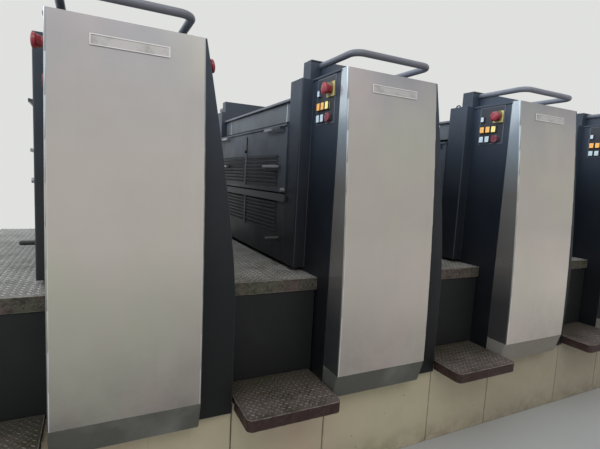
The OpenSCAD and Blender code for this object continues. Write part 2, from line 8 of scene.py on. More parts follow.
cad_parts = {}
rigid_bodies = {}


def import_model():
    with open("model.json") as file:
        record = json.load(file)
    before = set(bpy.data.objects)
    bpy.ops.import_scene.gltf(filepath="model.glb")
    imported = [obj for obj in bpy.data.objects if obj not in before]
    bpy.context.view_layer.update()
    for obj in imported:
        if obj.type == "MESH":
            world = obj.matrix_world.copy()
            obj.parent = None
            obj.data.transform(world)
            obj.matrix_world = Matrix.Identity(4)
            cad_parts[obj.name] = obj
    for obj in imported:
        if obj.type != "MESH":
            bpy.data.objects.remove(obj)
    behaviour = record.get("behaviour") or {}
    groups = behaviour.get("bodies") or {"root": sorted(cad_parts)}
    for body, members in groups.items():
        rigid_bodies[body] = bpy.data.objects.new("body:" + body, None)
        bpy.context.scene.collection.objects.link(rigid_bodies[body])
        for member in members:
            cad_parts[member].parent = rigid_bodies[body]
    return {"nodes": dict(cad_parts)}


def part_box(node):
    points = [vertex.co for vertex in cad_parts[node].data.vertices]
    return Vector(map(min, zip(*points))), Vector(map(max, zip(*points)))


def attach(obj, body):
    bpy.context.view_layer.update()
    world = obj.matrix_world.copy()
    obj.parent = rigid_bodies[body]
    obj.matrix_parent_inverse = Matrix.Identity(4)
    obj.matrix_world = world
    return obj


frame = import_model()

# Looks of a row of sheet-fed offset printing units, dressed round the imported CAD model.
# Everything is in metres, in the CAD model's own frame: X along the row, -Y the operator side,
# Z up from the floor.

for obj in list(bpy.context.scene.objects):
    if obj.name in ("Cube", "Light", "Camera"):
        bpy.data.objects.remove(obj)

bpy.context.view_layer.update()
NODES = frame["nodes"]

# The row's own measures, read from the CAD nodes
UNITS = sum(1 for n in NODES if n.startswith("operator_housing_"))
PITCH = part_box("operator_housing_2")[0].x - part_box("operator_housing_1")[0].x
UNIT_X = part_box("silver_covers")[0].x
FRONT_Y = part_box("side_covers")[0].y
PLINTH_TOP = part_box("unit_plinths")[1].z
COVER_Z = (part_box("silver_covers")[0].z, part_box("silver_covers")[1].z)

# Places that a paint follows: heights over the floor, distances from the row's middle plane
HEM_Z = (1.436, 1.49)         # olive strip between the upper and the lower louvres
BLADES_TOP = 1.885            # the highest louvre's upper edge
LOWER_BANK_Z = (1.3, 1.45)    # below this the louvres are less dirty
GRIPS_Z = (1.84, 1.85)        # the hinged guards' upper grips lie above this
GRIP_DARK_Y = (0.53, 0.58)    # a grip's outer end, which is dark
LATCH_Y = (0.04, 0.03)        # the guard's centre latch, darkened as painted shade of its slot
INK_SEAM_Y = 0.590            # bright seam on the ink covers
SEAM_HALF = (0.0035, 0.0015)  # its soft and its full half width
STOP_SHADE = (0.043, 0.034)   # radius of the painted shadow round a stop button's stem
PANEL_RIM, PLATE_RIM = 0.006, 0.004


def srgb(code):
    """Linear colour of a six-digit code."""
    out = []
    for k in (0, 2, 4):
        c = int(code[k:k + 2], 16) / 255
        out.append(c / 12.92 if c <= 0.04045 else ((c + 0.055) / 1.055) ** 2.4)
    return (*out, 1.0)


# Materials

class Graph:
    """A node tree that is wired step by step."""

    def __init__(self, tree):
        self.tree = tree

    def add(self, kind, values=(), **props):
        """A new node with its properties and its sockets, which take numbers or links."""
        node = self.tree.nodes.new(kind)
        for key, value in props.items():
            setattr(node, key, value)
        for key, value in dict(values).items():
            self.put(node.inputs[key], value)
        return node

    def put(self, socket, value):
        if isinstance(value, bpy.types.NodeSocket):
            self.tree.links.new(value, socket)
        else:
            socket.default_value = value

    def ramp(self, fac, low, high, to_low=0.0, to_high=1.0):
        """Clamped rise of fac from low to high."""
        return self.add("ShaderNodeMapRange", {
            "Value": fac, "From Min": low, "From Max": high, "To Min": to_low,
            "To Max": to_high}, clamp=True).outputs[0]

    def calc(self, op, a, b=0.0):
        return self.add("ShaderNodeMath", {0: a, 1: b}, operation=op).outputs[0]

    def mul(self, *values):
        out = values[0]
        for v in values[1:]:
            out = self.calc("MULTIPLY", out, v)
        return out

    def mix(self, fac, a, b):
        """Colour a, with the share fac of colour b."""
        node = self.add("ShaderNodeMix", {0: fac}, data_type="RGBA")
        self.put(node.inputs[6], a)
        self.put(node.inputs[7], b)
        return node.outputs[2]

    def axis(self, vector, letter):
        return self.add("ShaderNodeSeparateXYZ", {0: vector}).outputs["XYZ".index(letter)]


class Paint(Graph):
    """A material's node tree, with the coordinates that the paint follows."""

    def __init__(self, mat):
        super().__init__(mat.node_tree)
        self.mat = mat
        self.bsdf = self.tree.nodes["Principled BSDF"]
        coord = self.add("ShaderNodeTexCoord")
        self.pos, self.normal = coord.outputs["Object"], coord.outputs["Normal"]

    def scaled(self, x, y, z, shift=0.0):
        """Object coordinates stretched by x, y and z."""
        return self.add("ShaderNodeMapping", {"Vector": self.pos, "Scale": (x, y, z),
                                              "Location": (shift, shift, shift)}).outputs[0]

    def noise(self, scale, detail=3.0, rough=0.5, vector=None, distort=0.0):
        return self.add("ShaderNodeTexNoise", {
            "Vector": vector or self.pos, "Scale": scale, "Detail": detail, "Roughness": rough,
            "Distortion": distort}).outputs[0]

    def speckle(self, scale, reach):
        """1 in small round spots and 0 elsewhere."""
        cell = self.add("ShaderNodeTexVoronoi", {"Vector": self.pos, "Scale": scale})
        return self.ramp(cell.outputs["Distance"], reach, reach * 0.5)

    def bump(self, height, strength, distance, after=None):
        values = {"Height": height, "Strength": strength, "Distance": distance}
        if after:
            values["Normal"] = after
        return self.add("ShaderNodeBump", values).outputs[0]

    def finish(self, color, rough=None, normal=None, metal=None):
        """Links what is given to the shader and returns the material."""
        for key, value in (("Base Color", color), ("Roughness", rough), ("Normal", normal),
                           ("Metallic", metal)):
            if value is not None:
                self.put(self.bsdf.inputs[key], value)
        return self.mat


def new_paint(name, coat=0.0, coat_rough=0.2, spec=0.5):
    """A new material, with its uniform values on the shader's own sockets."""
    mat = bpy.data.materials.new(name)
    mat.use_nodes = True
    p = Paint(mat)
    for key, value in (("Coat Weight", coat), ("Coat Roughness", coat_rough),
                       ("Specular IOR Level", spec)):
        p.bsdf.inputs[key].default_value = value
    return p


def repaint(mat):
    """A finished material taken up again, with its colour and its roughness."""
    p = Paint(mat)
    color, rough = (p.bsdf.inputs[key].links[0].from_socket
                    for key in ("Base Color", "Roughness"))
    return p, color, rough


def height_colors(p, stops):
    """Colour by height over the floor, through (z, code) stops from low to high."""
    z = p.axis(p.pos, "Z")
    color = srgb(stops[0][1])
    for (z0, _), (z1, code) in zip(stops, stops[1:]):
        color = p.mix(p.ramp(z, z0, z1), color, srgb(code))
    return color


def mottled(p, color, scale, amount, dark="000000", light="FFFFFF"):
    """Broad lighter and darker areas."""
    n = p.noise(scale, 4, 0.55)
    color = p.mix(p.ramp(n, 0.5, 0.25, 0, amount), color, srgb(dark))
    return p.mix(p.ramp(n, 0.5, 0.75, 0, amount), color, srgb(light))


def dusted(p, color, code, amount):
    """Dust that lies on faces that look up."""
    up = p.ramp(p.axis(p.normal, "Z"), 0.55, 0.95)
    patch = p.ramp(p.noise(9, 5, 0.65), 0.3, 0.7, 0.35, 1.0)
    return p.mix(p.mul(up, patch, amount), color, srgb(code))


def streaks(p, low, high, amount):
    """Narrow upright runs."""
    n = p.noise(1.0, 3, 0.6, vector=p.scaled(18.2, 18.2, 0.9))
    return p.ramp(n, low, high, 0, amount)


def edge_wear(p, amount, radius=0.004):
    """Share of bare or polished paint along outer edges."""
    bent = p.add("ShaderNodeBevel", {"Radius": radius}, samples=4).outputs[0]
    flat = p.add("ShaderNodeNewGeometry").outputs["Normal"]
    dot = p.add("ShaderNodeVectorMath", {0: bent, 1: flat}, operation="DOT_PRODUCT").outputs[1]
    rub = p.ramp(p.noise(30, 4, 0.7), 0.38, 0.62, 0.15, 1.0)
    return p.mul(p.ramp(dot, 0.999, 0.9), rub, amount)


def enamel(name, stops, rough=0.40, dust=0.4, wear="6A6E72", wear_amount=0.4, cloud=0.35,
           spec=0.5, smear="34363A", seam=None):
    """Satin enamel on sheet metal: dark clouds, faint wiped smears, dust on top, rubbed edges.

    A bright upright line marks a seam at that distance from the row's middle plane."""
    p = new_paint(name, spec=spec)
    color = height_colors(p, stops)
    color = p.mix(p.ramp(p.noise(1.7, 4, 0.55), 0.36, 0.68, 0, cloud), color, srgb("0A0B0D"))
    color = p.mix(p.ramp(p.noise(10, 5, 0.65), 0.42, 0.72, 0, cloud * 0.5), color,
                  srgb("0A0B0D"))
    wiped = p.ramp(p.noise(3.5, 5, 0.7, vector=p.scaled(1, 1, 0.45, 3)), 0.56, 0.80, 0, 0.22)
    color = p.mix(wiped, color, srgb(smear))
    color = p.mix(p.mul(p.speckle(31, 0.05), 0.35), color, srgb("4A4B4C"))
    color = dusted(p, color, "8A8880", dust)
    if seam:
        off = p.calc("SUBTRACT", p.calc("ABSOLUTE", p.axis(p.pos, "Y")), seam)
        color = p.mix(p.ramp(p.calc("ABSOLUTE", off), *SEAM_HALF), color, srgb("E2E6EA"))
    if wear_amount:
        color = p.mix(edge_wear(p, wear_amount), color, srgb(wear))
    rub = p.noise(5, 5, 0.65)
    r = p.calc("ADD", p.ramp(rub, 0.3, 0.7, rough - 0.06, rough + 0.08),
               p.mul(p.noise(90, 3, 0.6), 0.06))
    peel = p.bump(p.noise(420, 2, 0.5), 0.05, 0.0006)
    wave = p.bump(p.noise(2.2, 1, 0.4), 0.15, 0.004, after=peel)
    return p.finish(color, r, wave)


def near_edges(p, lo, hi, width, axes):
    """1 within a width of the sides of a box. Along X the box comes once in each unit."""
    out = None
    for letter in axes:
        v, a, b = p.axis(p.pos, letter), getattr(lo, letter.lower()), getattr(hi, letter.lower())
        v = p.calc("SUBTRACT", v, a)
        if letter == "X":
            v = p.calc("MODULO", v, PITCH)
        half = (b - a) / 2
        inside = p.calc("ABSOLUTE", p.calc("SUBTRACT", v, half))
        rim = p.ramp(inside, half - width, half - width * 0.8)
        out = rim if out is None else p.calc("MAXIMUM", out, rim)
    return out


def guard_paint(name, stops):
    """Enamel of the louvred guards: dull, dark blades and an olive strip between the banks."""
    p, color, rough = repaint(enamel(name, stops, rough=0.42, spec=0.32))
    z = p.axis(p.pos, "Z")
    below_top = p.ramp(z, BLADES_TOP, BLADES_TOP - 0.01)
    tilted = p.mul(p.ramp(p.axis(p.normal, "Z"), 0.15, 0.35), below_top)
    at_hem = p.mul(p.ramp(z, HEM_Z[0] - 0.004, HEM_Z[0]), p.ramp(z, HEM_Z[1] + 0.004, HEM_Z[1]))
    blades = p.mul(tilted, p.ramp(at_hem, 1, 0))
    color = p.mix(p.mul(blades, p.ramp(z, *LOWER_BANK_Z, 0.5, 0.85)), color, srgb("0B0C10"))
    p.put(p.bsdf.inputs["Roughness"], p.calc("MAXIMUM", rough, p.mul(tilted, 0.8)))
    tint = p.mix(p.ramp(p.noise(6, 3, 0.6), 0.4, 0.62), srgb("30332B"), srgb("242629"))
    return p.finish(p.mix(p.mul(tilted, at_hem), color, tint))


def pale_paint():
    """Silver paint with fine metal in it, satin gloss, on the large bowed covers.

    Its tone differs from unit to unit along X. The returns beside the bends carry painted shade
    low down, a painted reflection higher up, and a painted highlight along the bends."""
    p = new_paint("pale_paint", coat=0.22, coat_rough=0.14)
    x, z = p.axis(p.pos, "X"), p.axis(p.pos, "Z")
    low, high = COVER_Z
    tenth = (high - low) / 10
    # The stops darken the cover towards its foot, which is painted shade, and a little towards
    # its top.
    color = height_colors(p, [
        (low, "8A837D"), (low + 2 * tenth, "A8A099"), (low + 4.4 * tenth, "BAB3AB"),
        (low + 7 * tenth, "B3ADA8"), (high, "909095")])
    # Darker at middle height and lighter low down, both rising along X.
    darker_mid_band = p.mul(p.ramp(x, -1.4, -0.8, 0, 0.28), p.ramp(z, 1.0, 1.3), p.ramp(z, 1.95, 1.75))
    color = p.mix(darker_mid_band, color, srgb("8F8680"))
    lighter_low_band = p.mul(p.ramp(x, -1.1, 0.2, 0, 0.9), p.ramp(z, 1.35, 0.95))
    color = p.mix(lighter_low_band, color, srgb("CBBFB7"))
    warm = p.ramp(p.noise(1.9, 3, 0.5, vector=p.scaled(1, 1, 0.6, 7)), 0.46, 0.72, 0, 0.5)
    color = p.mix(warm, color, srgb("BAA8A4"))
    green = p.ramp(p.noise(2.3, 3, 0.5, vector=p.scaled(1, 1, 0.7, 19)), 0.5, 0.74, 0, 0.5)
    color = p.mix(green, color, srgb("AEB09D"))
    color = mottled(p, color, 5.5, 0.05, "6E6A66", "C4C2C0")
    color = p.mix(streaks(p, 0.6, 0.82, 0.08), color, srgb("7D7871"))
    foot = p.ramp(z, low + 0.35, low)
    grime = p.ramp(p.noise(14, 6, 0.7), 0.42, 0.75, 0, 0.2)
    color = p.mix(p.mul(foot, grime), color, srgb("6A6259"))
    color = p.mix(p.mul(p.speckle(23, 0.045), 0.4), color, srgb("77716A"))
    scratch = p.noise(1.0, 2, 0.9, vector=p.scaled(9, 9, 210, 2), distort=0.4)
    color = p.mix(p.mul(p.ramp(scratch, 0.73, 0.8, 0, 0.18), p.ramp(p.noise(3), 0.5, 0.7)),
                  color, srgb("C9C8C6"))
    color = p.mix(edge_wear(p, 0.3, 0.003), color, srgb("CFD0CF"))
    aside = p.calc("ABSOLUTE", p.axis(p.normal, "X"))
    on_return = p.ramp(aside, 0.35, 0.75)
    # Painted shade on the lower part of the returns, and a painted reflection on their upper
    # part.
    color = p.mix(p.mul(on_return, p.ramp(z, 1.45, 0.85, 0, 0.85)), color, srgb("3A3C40"))
    color = p.mix(p.mul(on_return, p.ramp(z, 1.55, 1.85, 0, 0.9)), color, srgb("D0DCE4"))
    # A painted highlight along the bends beside the returns.
    on_bend = p.mul(p.ramp(aside, 0.08, 0.2), p.ramp(aside, 0.5, 0.3))
    color = p.mix(p.mul(on_bend, p.ramp(z, 1.9, 1.2, 0.1, 0.7)), color, srgb("E4E5E4"))
    rough = p.ramp(p.noise(3.2, 5, 0.65), 0.3, 0.7, 0.34, 0.46)
    rough = p.mul(rough, p.ramp(aside, 0.4, 0.8, 1.0, 0.6))
    peel = p.bump(p.noise(300, 2, 0.5), 0.03, 0.0006)
    wave = p.bump(p.noise(1.6, 2, 0.4, vector=p.scaled(1, 1, 0.8, 5)), 0.22, 0.012, after=peel)
    return p.finish(color, rough, wave, 0.72)


def band_paint():
    """Grey-green kick band, scuffed by shoes."""
    p = new_paint("band_paint", spec=0.4)
    color = mottled(p, srgb("4E4D47"), 3, 0.10)
    color = p.mix(p.ramp(p.axis(p.pos, "X"), 0.2, 0.6, 0, 0.8), color, srgb("7F776D"))
    scuff = p.ramp(p.noise(1.0, 5, 0.75, vector=p.scaled(18, 18, 60, 4), distort=1.2), 0.56, 0.7)
    color = p.mix(p.mul(scuff, 0.22), color, srgb("7A776F"))
    color = p.mix(p.mul(p.speckle(37, 0.10), 0.5), color, srgb("2A2826"))
    color = p.mix(edge_wear(p, 0.6), color, srgb("A39F94"))
    rough = p.ramp(p.noise(12, 4, 0.6), 0.3, 0.7, 0.36, 0.58)
    return p.finish(color, rough, p.bump(p.noise(200, 3, 0.6), 0.10, 0.0008))


def masonry():
    """Painted plinth: roller texture, faint runs from the top edge, chips and spatter."""
    p = new_paint("masonry", spec=0.3)
    z = p.axis(p.pos, "Z")
    color = height_colors(p, [(0.0, "978C7A"), (0.2, "A69C85"), (PLINTH_TOP, "ADA28A")])
    green = p.ramp(p.noise(1.3, 3, 0.5, vector=p.scaled(1, 1, 0.5, 2)), 0.42, 0.64)
    color = p.mix(p.mul(green, 0.55), color, srgb("9C9B7D"))
    rose = p.ramp(p.noise(1.6, 3, 0.5, vector=p.scaled(1, 1, 0.5, 11)), 0.5, 0.7)
    color = p.mix(p.mul(rose, 0.5), color, srgb("B09885"))
    color = p.mix(p.ramp(p.axis(p.pos, "X"), 0.1, 0.7, 0, 0.55), color, srgb("80776A"))
    color = mottled(p, color, 8, 0.06, "5A5340", "C4BEA8")
    from_top = p.ramp(z, PLINTH_TOP - 0.20, PLINTH_TOP - 0.01)
    run = p.noise(1.0, 4, 0.65, vector=p.scaled(17, 17, 1.3, 6))
    color = p.mix(p.mul(p.ramp(run, 0.58, 0.72, 0, 0.4), from_top), color, srgb("5E4E38"))
    thin = p.noise(1.0, 2, 0.6, vector=p.scaled(70, 70, 1.8, 9))
    color = p.mix(p.mul(p.ramp(thin, 0.70, 0.78, 0, 0.4), from_top), color, srgb("4A3B2A"))
    splash = p.ramp(z, 0.14, 0.0)
    wet = p.ramp(p.noise(13, 6, 0.7), 0.40, 0.66)
    color = p.mix(p.mul(splash, wet, 0.6), color, srgb("59523F"))
    color = p.mix(p.mul(p.speckle(9, 0.055), 0.6), color, srgb("4E4334"))
    color = p.mix(p.mul(p.speckle(46, 0.07), p.ramp(p.noise(4), 0.52, 0.62), 0.5), color,
                  srgb("6B4E3C"))
    color = dusted(p, color, "6F6858", 0.7)
    color = p.mix(edge_wear(p, 0.7, 0.007), color, srgb("5F5643"))
    tool = p.bump(p.noise(5, 5, 0.6), 0.30, 0.006)
    grain = p.bump(p.noise(120, 4, 0.7), 0.16, 0.0014, after=tool)
    return p.finish(color, p.ramp(p.noise(20, 4, 0.6), 0.3, 0.7, 0.62, 0.85), grain)


def trodden(p, reach):
    """Share of bare, trodden metal: 1 along the front edge and less towards the row's middle.

    reach is the distance where it is least, the one where it is full, and the least share."""
    least_at, full_at, least = reach
    far = p.ramp(p.calc("ABSOLUTE", p.axis(p.pos, "Y")), least_at, full_at, least, 1.0)
    patch = p.ramp(p.noise(5.5, 5, 0.65, vector=p.scaled(1, 1, 1, 8)), 0.34, 0.62, 0.25, 1.0)
    return p.mul(far, patch)


def tread_ground(name, base, dirt, stain, side, reach):
    """Sheet between the bars of a tread plate, with trodden dirt and old ink."""
    p = new_paint(name, spec=0.4)
    worn = trodden(p, reach)
    color = p.mix(worn, srgb(dirt), srgb(base))
    moss = p.ramp(p.noise(5.3, 5, 0.7, vector=p.scaled(1, 1, 1, 8)), 0.50, 0.62, 0, 0.75)
    color = p.mix(moss, color, srgb(stain))
    color = p.mix(p.ramp(p.noise(38, 5, 0.75), 0.5, 0.7, 0, 0.45), color, srgb(dirt))
    color = p.mix(p.mul(p.speckle(60, 0.11), 0.35), color, srgb("A8A39C"))
    down = p.ramp(p.axis(p.normal, "Z"), 0.6, 0.2)
    tint = p.mix(p.ramp(p.noise(7, 4, 0.6), 0.42, 0.6), srgb(side[0]), srgb(side[1]))
    tint = p.mix(p.ramp(p.noise(45, 4, 0.7), 0.40, 0.62, 0, 0.8), tint, srgb(side[2]))
    color = p.mix(down, color, tint)
    color = p.mix(edge_wear(p, 0.75, 0.005), color, srgb("B0ABA3"))
    rough = p.ramp(p.noise(9, 5, 0.7), 0.3, 0.7, 0.42, 0.74)
    return p.finish(color, rough, p.bump(p.noise(170, 4, 0.7), 0.25, 0.001),
                    p.ramp(worn, 0, 1, 0.10, 0.45))


def tread_bars(name, bright, dull, side, reach):
    """Bars of a tread plate, polished where shoes go and dirty elsewhere."""
    p = new_paint(name)
    worn = trodden(p, reach)
    color = p.mix(worn, srgb(dull), srgb(bright))
    color = p.mix(p.ramp(p.noise(75, 3, 0.7), 0.40, 0.62, 0, 0.8), color, srgb(dull))
    down = p.ramp(p.axis(p.normal, "Z"), 0.75, 0.45)
    color = p.mix(down, color, srgb(side))
    rough = p.ramp(worn, 0, 1, 0.6, 0.36)
    return p.finish(color, rough, p.bump(p.noise(260, 3, 0.7), 0.2, 0.0008),
                    p.mul(p.ramp(worn, 0, 1, 0.2, 0.6), p.ramp(down, 1, 0)))


def steel(name, code, rough, lines, metal=0.85, dark="2E2C2A"):
    """Bare or plated metal, brushed or ground, with smears of oil and dirt.

    lines stretches the grain: it runs along the axis with the smallest number."""
    p = new_paint(name)
    brush = p.noise(60, 4, 0.7, vector=p.scaled(*lines))
    color = p.mix(p.ramp(brush, 0.3, 0.75, 0, 0.45), srgb(code), srgb(dark))
    smear = p.ramp(p.noise(13, 5, 0.7), 0.5, 0.76, 0, 0.55)
    color = p.mix(smear, color, srgb("4A4640"))
    r = p.calc("ADD", p.ramp(brush, 0.3, 0.7, rough - 0.08, rough + 0.1), p.mul(smear, 0.3))
    return p.finish(color, r, p.bump(brush, 0.12, 0.0006), p.ramp(smear, 0, 0.5, metal, 0.2))


def handle_steel():
    """Plated handles: the upper grips' outer ends are dark, and the centre latches are darkened
    as painted shade of the slot they hang in.
    """
    p, color, _ = repaint(steel("handle_steel", "B0B1B4", 0.3, (3, 0.3, 3), metal=0.6))
    away = p.calc("ABSOLUTE", p.axis(p.pos, "Y"))
    upper = p.ramp(p.axis(p.pos, "Z"), *GRIPS_Z)
    dark = p.mul(upper, p.ramp(away, *GRIP_DARK_Y, 0, 0.85))
    color = p.mix(dark, color, srgb("26282C"))
    # Painted shade of the slot on the centre latch.
    return p.finish(p.mix(p.ramp(away, *LATCH_Y, 0, 0.9), color, srgb("1C1E22")))


def rimmed(mat, node, code, width, axes):
    """The same material with a rim in another colour round a flat plate."""
    p, color, _ = repaint(mat)
    lo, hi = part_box(node)
    if "X" in axes:
        hi = Vector((hi.x - (UNITS - 1) * PITCH, hi.y, hi.z))
    return p.finish(p.mix(p.mul(near_edges(p, lo, hi, width, axes), 0.8), color, srgb(code)))


def plastic(name, code, rough=0.25, dirt="3A2A24", glow=0.0):
    """Moulded plastic with grime in its dull places and finger wear."""
    p = new_paint(name, coat=0.3, coat_rough=0.12)
    color = mottled(p, srgb(code), 60, 0.10)
    color = p.mix(p.ramp(p.noise(85, 5, 0.7), 0.5, 0.78, 0, 0.35), color, srgb(dirt))
    if glow:
        p.bsdf.inputs["Emission Color"].default_value = srgb(code)
        p.bsdf.inputs["Emission Strength"].default_value = glow
    r = p.ramp(p.noise(140, 4, 0.6), 0.3, 0.7, rough, rough + 0.2)
    return p.finish(color, r, p.bump(p.noise(500, 2, 0.5), 0.05, 0.0004))


def stop_base():
    """Pale yellow plate with grime, and a painted shadow round the button's stem."""
    p, color, _ = repaint(plastic("stop_yellow", "CCBB74", 0.35, dirt="6A4A1C"))
    lo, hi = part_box("stop_button_bases")
    mid_z, mid_y = (lo.z + hi.z) / 2, hi.y - (hi.z - lo.z) / 2
    across = p.calc("SUBTRACT", p.calc("ABSOLUTE", p.axis(p.pos, "Y")), mid_y)
    up = p.calc("SUBTRACT", p.axis(p.pos, "Z"), mid_z)
    r = p.calc("SQRT", p.calc("ADD", p.mul(across, across), p.mul(up, up)))
    # Painted shadow round the button's stem.
    return p.finish(p.mix(p.ramp(r, *STOP_SHADE, 0, 0.85), color, srgb("4A3216")))


def rubber(name, code):
    """Printing blanket, smeared with dried ink."""
    p = new_paint(name, spec=0.35)
    color = mottled(p, srgb(code), 9, 0.15)
    color = p.mix(p.ramp(p.noise(26, 5, 0.7), 0.5, 0.75, 0, 0.5), color, srgb("2A2A30"))
    return p.finish(color, p.ramp(p.noise(40, 3, 0.6), 0.3, 0.7, 0.5, 0.7),
                    p.bump(p.noise(600, 2, 0.5), 0.1, 0.0004))


# Stops are (height over the floor, code). A tread's reach is explained at trodden().
# The stops of DARK and of the side, guard and rail enamels get lighter upwards: painted light
# from above, and painted shade low down.
DARK = [(0.5, "0E0F11"), (0.95, "101216"), (1.5, "181D26"), (2.1, "394352")]
PLATFORM_REACH, STEP_REACH = (0.2, 1.1, 0.55), (1.12, 1.38, 0.12)
paints = {
    "plinth": masonry(),
    "dark": enamel("dark_enamel", DARK),
    "side": enamel("side_enamel", [(0.5, "0A0A0B"), (1.0, "0F1013"), (1.6, "20242B"),
                                   (2.1, "424B58")], rough=0.46, spec=0.3),
    "frame": enamel("frame_enamel", [(0.0, "131313"), (2.0, "18191A")], rough=0.55,
                    wear_amount=0.3, spec=0.35),
    "pale": pale_paint(),
    "band": band_paint(),
    "guard": guard_paint("guard_enamel", [(1.0, "111315"), (1.3, "282C30"), (1.5, "3C4148"),
                                          (1.9, "535963")]),
    "ink": enamel("ink_enamel", [(1.9, "56595E"), (2.1, "666A70")], rough=0.45, cloud=0.2,
                  seam=INK_SEAM_Y),
    "lid": enamel("lid_enamel", [(1.9, "62646C"), (2.1, "6A6C74")], rough=0.38, dust=0.25,
                  cloud=0.1, smear="7C7C82"),
    "panel": rimmed(enamel("panel_enamel", [(1.8, "2C3036"), (2.2, "383C44")], rough=0.36,
                           cloud=0.2), "control_panels", "666C76", PANEL_RIM, "YZ"),
    "rail": enamel("rail_enamel", [(1.9, "5A5C64"), (2.3, "74767F")], rough=0.36, dust=0.5,
                   wear_amount=0.0, cloud=0.3, smear="7A746E"),
    "handle": handle_steel(),
    "dark_handle": enamel("dark_handle", [(1.0, "2A2A2B"), (1.6, "343436")], rough=0.5,
                          wear="9A9A98", wear_amount=0.9),
    "cylinder": steel("cylinder_steel", "9FA3A8", 0.22, (4, 0.15, 4)),
    "rubber": rubber("blanket_rubber", "3A4E6E"),
    "platform": tread_ground("platform_ground", "8B867E", "57534C", "4E4C3C",
                             ("535445", "5C4E48", "2D2A24"), PLATFORM_REACH),
    "platform_bars": tread_bars("platform_bars", "D4D2D0", "7A7773", "45443B",
                                PLATFORM_REACH),
    "step": tread_ground("step_ground", "675A54", "343026", "2F2E1B",
                         ("3A2624", "402E27", "241A17"), STEP_REACH),
    "step_bars": tread_bars("step_bars", "A0938E", "413B32", "3A302C", STEP_REACH),
    "plate": rimmed(steel("nameplate_metal", "B1AEAD", 0.34, (0.3, 3, 3), metal=0.35,
                          dark="9A9695"), "nameplates", "DCDAD9", PLATE_RIM, "XZ"),
    "stop_yellow": stop_base(),
    "stop_red": plastic("stop_red", "94202F", 0.32),
    "amber": plastic("button_amber", "E6A854", 0.25, glow=0.35),
    "yellow": plastic("button_yellow", "E8D884", 0.25, glow=0.3),
    "white": plastic("button_white", "C6D4DA", 0.25, glow=0.1),
    "red": plastic("button_red", "7E3440", 0.25),
    "black": plastic("black_plastic", "1C1D20", 0.38, dirt="3A3A3A"),
}

# Which paint each CAD node wears and how many millimetres wide its edges are broken
WEARS = {
    "unit_plinths": ("plinth", 4.0), "walkway_plinths": ("plinth", 4.0),
    "bed_castings": ("frame", 4.0), "side_covers": ("side", 2.0), "silver_covers": ("pale", 0),
    "kick_bands": ("band", 0), "nameplates": ("plate", 0.6), "ink_covers": ("ink", 1.5),
    "ink_lids": ("lid", 2.0), "lower_louvre_guards": ("guard", 0.8),
    "lower_guard_handles": ("dark_handle", 3.0), "right_louvre_covers": ("guard", 0.8),
    "plate_cylinders": ("cylinder", 0), "blanket_cylinders": ("rubber", 0),
    "impression_cylinders": ("cylinder", 0), "handrails": ("rail", 0),
    "rail_guard_plates": ("dark", 1.0), "lifting_eye": ("dark", 0),
    "platforms": ("platform", 1.5), "platform_frames": ("frame", 2.0),
    "lower_steps": ("step", 2.0), "control_panels": ("panel", 0.6),
    "stop_button_bases": ("stop_yellow", 3.0), "stop_buttons": ("stop_red", 0),
    "amber_buttons": ("amber", 2.0), "yellow_buttons": ("yellow", 2.0),
    "white_buttons": ("white", 2.0), "red_buttons": ("red", 2.0),
}
for n in range(1, UNITS + 1):
    WEARS[f"operator_housing_{n}"] = WEARS[f"drive_housing_{n}"] = ("dark", 3.0)
    WEARS[f"louvred_guard_{n}"] = ("guard", 0.8)
    WEARS[f"guard_handles_{n}"] = ("handle", 1.5)


WELD_GAP, FLAT_ANGLE, SHARP_ANGLE = 1e-5, 0.5, 35     # metres, degrees, degrees


def break_edges(obj, width_mm):
    """Joins the facets' corners, clears flat triangulation and rounds the sharp edges."""
    weld = obj.modifiers.new("weld", "WELD")
    weld.merge_threshold = WELD_GAP
    flat = obj.modifiers.new("flat", "DECIMATE")
    flat.decimate_type = "DISSOLVE"
    flat.angle_limit = math.radians(FLAT_ANGLE)
    bevel = obj.modifiers.new("bevel", "BEVEL")
    bevel.width = width_mm / 1000
    bevel.segments = 2
    bevel.limit_method = "ANGLE"
    bevel.angle_limit = math.radians(SHARP_ANGLE)
    smooth = obj.modifiers.new("normals", "WEIGHTED_NORMAL")
    smooth.keep_sharp = True
    smooth.weight = 100


for name, (paint, width) in WEARS.items():
    obj = NODES[name]
    obj.data.materials.clear()
    obj.data.materials.append(paints[paint])
    if width:
        break_edges(obj, width)


def new_piece(name, verts, faces, paint):
    """A mesh of the dressing, which rides on the fixed body."""
    mesh = bpy.data.meshes.new(name)
    mesh.from_pydata([tuple(v) for v in verts], [], faces)
    mesh.validate()
    mesh.materials.append(paints[paint])
    obj = bpy.data.objects.new(name, mesh)
    bpy.context.scene.collection.objects.link(obj)
    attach(obj, "root")


# Tread bars: low lenses in rows, each row leaning the other way than the one before
BAR_L, BAR_W, BAR_H = 0.0255, 0.0072, 0.0014
BAR_STEP, ROW_STEP = 0.030, 0.0175
BAR_LEAN = 45              # degrees from the row
BAR_FOOT = [(-0.5, 0), (-0.2, -0.5), (0.2, -0.5), (0.5, 0), (0.2, 0.5), (-0.2, 0.5)]
BAR_RIDGE = 0.24           # half the ridge, as a share of the bar's length
BAR_FACES = ((1, 2, 7, 6), (4, 5, 6, 7), (0, 1, 6), (5, 0, 6), (2, 3, 7), (3, 4, 7),
             (5, 4, 3, 2, 1, 0))
BAR_SINK = 2e-4            # how deep a bar's foot lies in the sheet
TIP_REACH = 0.58           # where the sheet under a tip is felt for, as a share of the length
PROBE_FROM, PROBE_LENGTH = 0.004, 0.006
LEVEL_SLACK = 2e-4         # the sheet may lie this far off the plane


